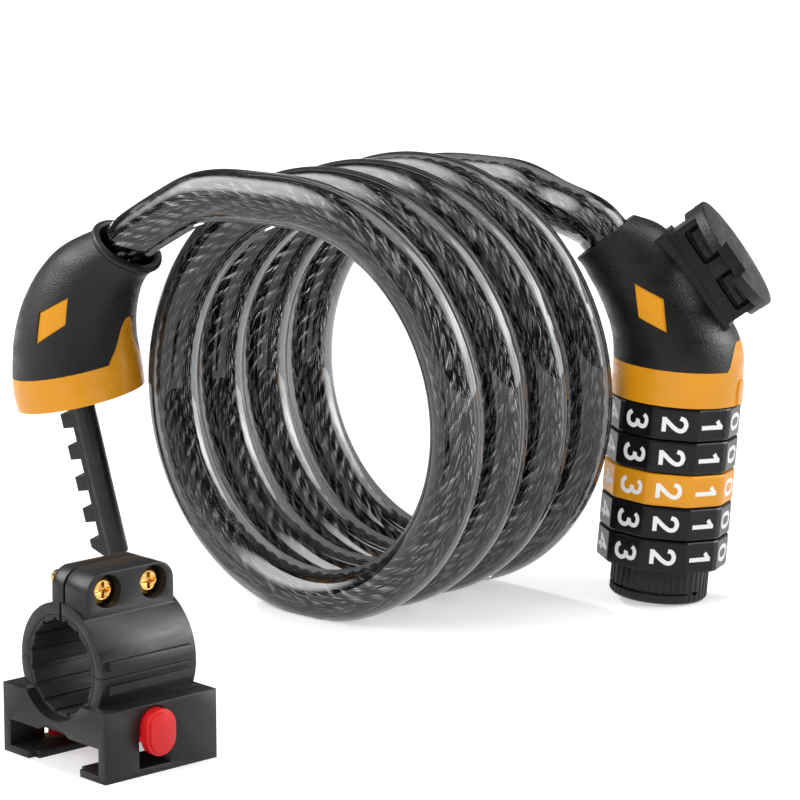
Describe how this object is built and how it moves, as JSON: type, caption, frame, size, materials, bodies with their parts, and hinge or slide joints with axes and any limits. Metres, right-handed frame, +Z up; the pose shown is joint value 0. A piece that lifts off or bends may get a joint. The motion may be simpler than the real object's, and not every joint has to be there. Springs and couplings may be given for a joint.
{
  "type": "combination cable lock",
  "caption": "Self-coiling clear-jacketed cable lock with a number-wheel combination head, a toothed plug head and a separate tube bracket with a release button.",
  "frame": {"origin": "bottom centre of the box round the two heads and the bracket (the cable is left out), on the floor that the lock stands on", "axes": "+Z up; +Y along the coil axis, from the plug head towards the dial head; +X towards the dial head"},
  "size_m": [0.1562, 0.2114, 0.1028],
  "materials": {
    "clear_jacket": "clear smoky PVC, glossy",
    "steel_rope": "twisted galvanised wires, dark",
    "black_plastic": "fine-grained matte",
    "stud_plastic": "satin",
    "orange_plastic": "satin",
    "wheel_black": "semi-gloss",
    "wheel_orange": "semi-gloss",
    "crimp_aluminium": "pressed",
    "steel": "plain",
    "spring_steel": "bright",
    "cast_insert": "as cast",
    "black_rod": "black, satin",
    "bracket_plastic": "satin",
    "liner_rubber": "matte",
    "brass": "bright",
    "red_plastic": "gloss"
  },
  "bodies": {
    "lock": {"cable_jacket_coil": "clear_jacket", "wire_rope_coil": "steel_rope", "cable_jacket_plug_end": "clear_jacket", "wire_rope_plug_end": "steel_rope", "cable_jacket_dial_end": "clear_jacket", "wire_rope_dial_end": "steel_rope", "plug_housing": "black_plastic", "plug_collar": "orange_plastic", "plug_mouth_ring": "black_plastic", "plug_inlays": "orange_plastic", "plug_ferrule": "crimp_aluminium", "plug_ferrule_pin": "steel", "rod_carrier": "cast_insert", "locking_rod": "black_rod", "rod_dowel": "steel", "dial_housing": "black_plastic", "dial_collar": "orange_plastic", "dial_inlays": "orange_plastic", "dial_ferrule": "crimp_aluminium", "dial_ferrule_pin": "steel", "core_barrel": "cast_insert", "core_screws": "steel", "detent_strip": "spring_steel", "knob_clip": "spring_steel", "stud_base": "stud_plastic", "stud_disc": "stud_plastic"},
    "wheel_1": {"number_wheel_1": "wheel_black", "lock_ring_1": "brass"},
    "wheel_2": {"number_wheel_2": "wheel_black", "lock_ring_2": "brass"},
    "wheel_3": {"number_wheel_3": "wheel_orange", "lock_ring_3": "brass"},
    "wheel_4": {"number_wheel_4": "wheel_black", "lock_ring_4": "brass"},
    "wheel_5": {"number_wheel_5": "wheel_black", "lock_ring_5": "brass"},
    "knob": {"end_knob": "wheel_black"},
    "bracket": {"bracket_foot": "bracket_plastic", "clamp_jaw_left": "bracket_plastic", "clamp_jaw_right": "bracket_plastic", "tube_liner": "liner_rubber", "clamp_screws": "brass", "clamp_nuts": "brass", "button_spring": "spring_steel"},
    "button": {"release_button": "red_plastic"}
  },
  "joints": [
    {"name": "wheel_1_turn", "type": "hinge", "parent": "lock", "child": "wheel_1", "pos_m": [0.05414, 0.08365, 0.0008], "axis": [0.0592, 0.0488, 0.9971], "continuous": true},
    {"name": "wheel_2_turn", "type": "hinge", "parent": "lock", "child": "wheel_2", "pos_m": [0.05414, 0.08365, 0.0008], "axis": [0.0592, 0.0488, 0.9971], "continuous": true},
    {"name": "wheel_3_turn", "type": "hinge", "parent": "lock", "child": "wheel_3", "pos_m": [0.05414, 0.08365, 0.0008], "axis": [0.0592, 0.0488, 0.9971], "continuous": true},
    {"name": "wheel_4_turn", "type": "hinge", "parent": "lock", "child": "wheel_4", "pos_m": [0.05414, 0.08365, 0.0008], "axis": [0.0592, 0.0488, 0.9971], "continuous": true},
    {"name": "wheel_5_turn", "type": "hinge", "parent": "lock", "child": "wheel_5", "pos_m": [0.05414, 0.08365, 0.0008], "axis": [0.0592, 0.0488, 0.9971], "continuous": true},
    {"name": "knob_turn", "type": "hinge", "parent": "lock", "child": "knob", "pos_m": [0.05414, 0.08365, 0.0008], "axis": [0.0592, 0.0488, 0.9971], "range_deg": [0, 90]},
    {"name": "bracket_lift", "type": "slide", "parent": "lock", "child": "bracket", "axis": [0, 0, 1], "range_m": [0, 0.06]},
    {"name": "button_press", "type": "slide", "parent": "bracket", "child": "button", "axis": [-0.9903, 0.1392, 0], "range_m": [0, 0.0022], "stiffness_N_per_m": 350, "springref_m": -0.002}
  ]
}
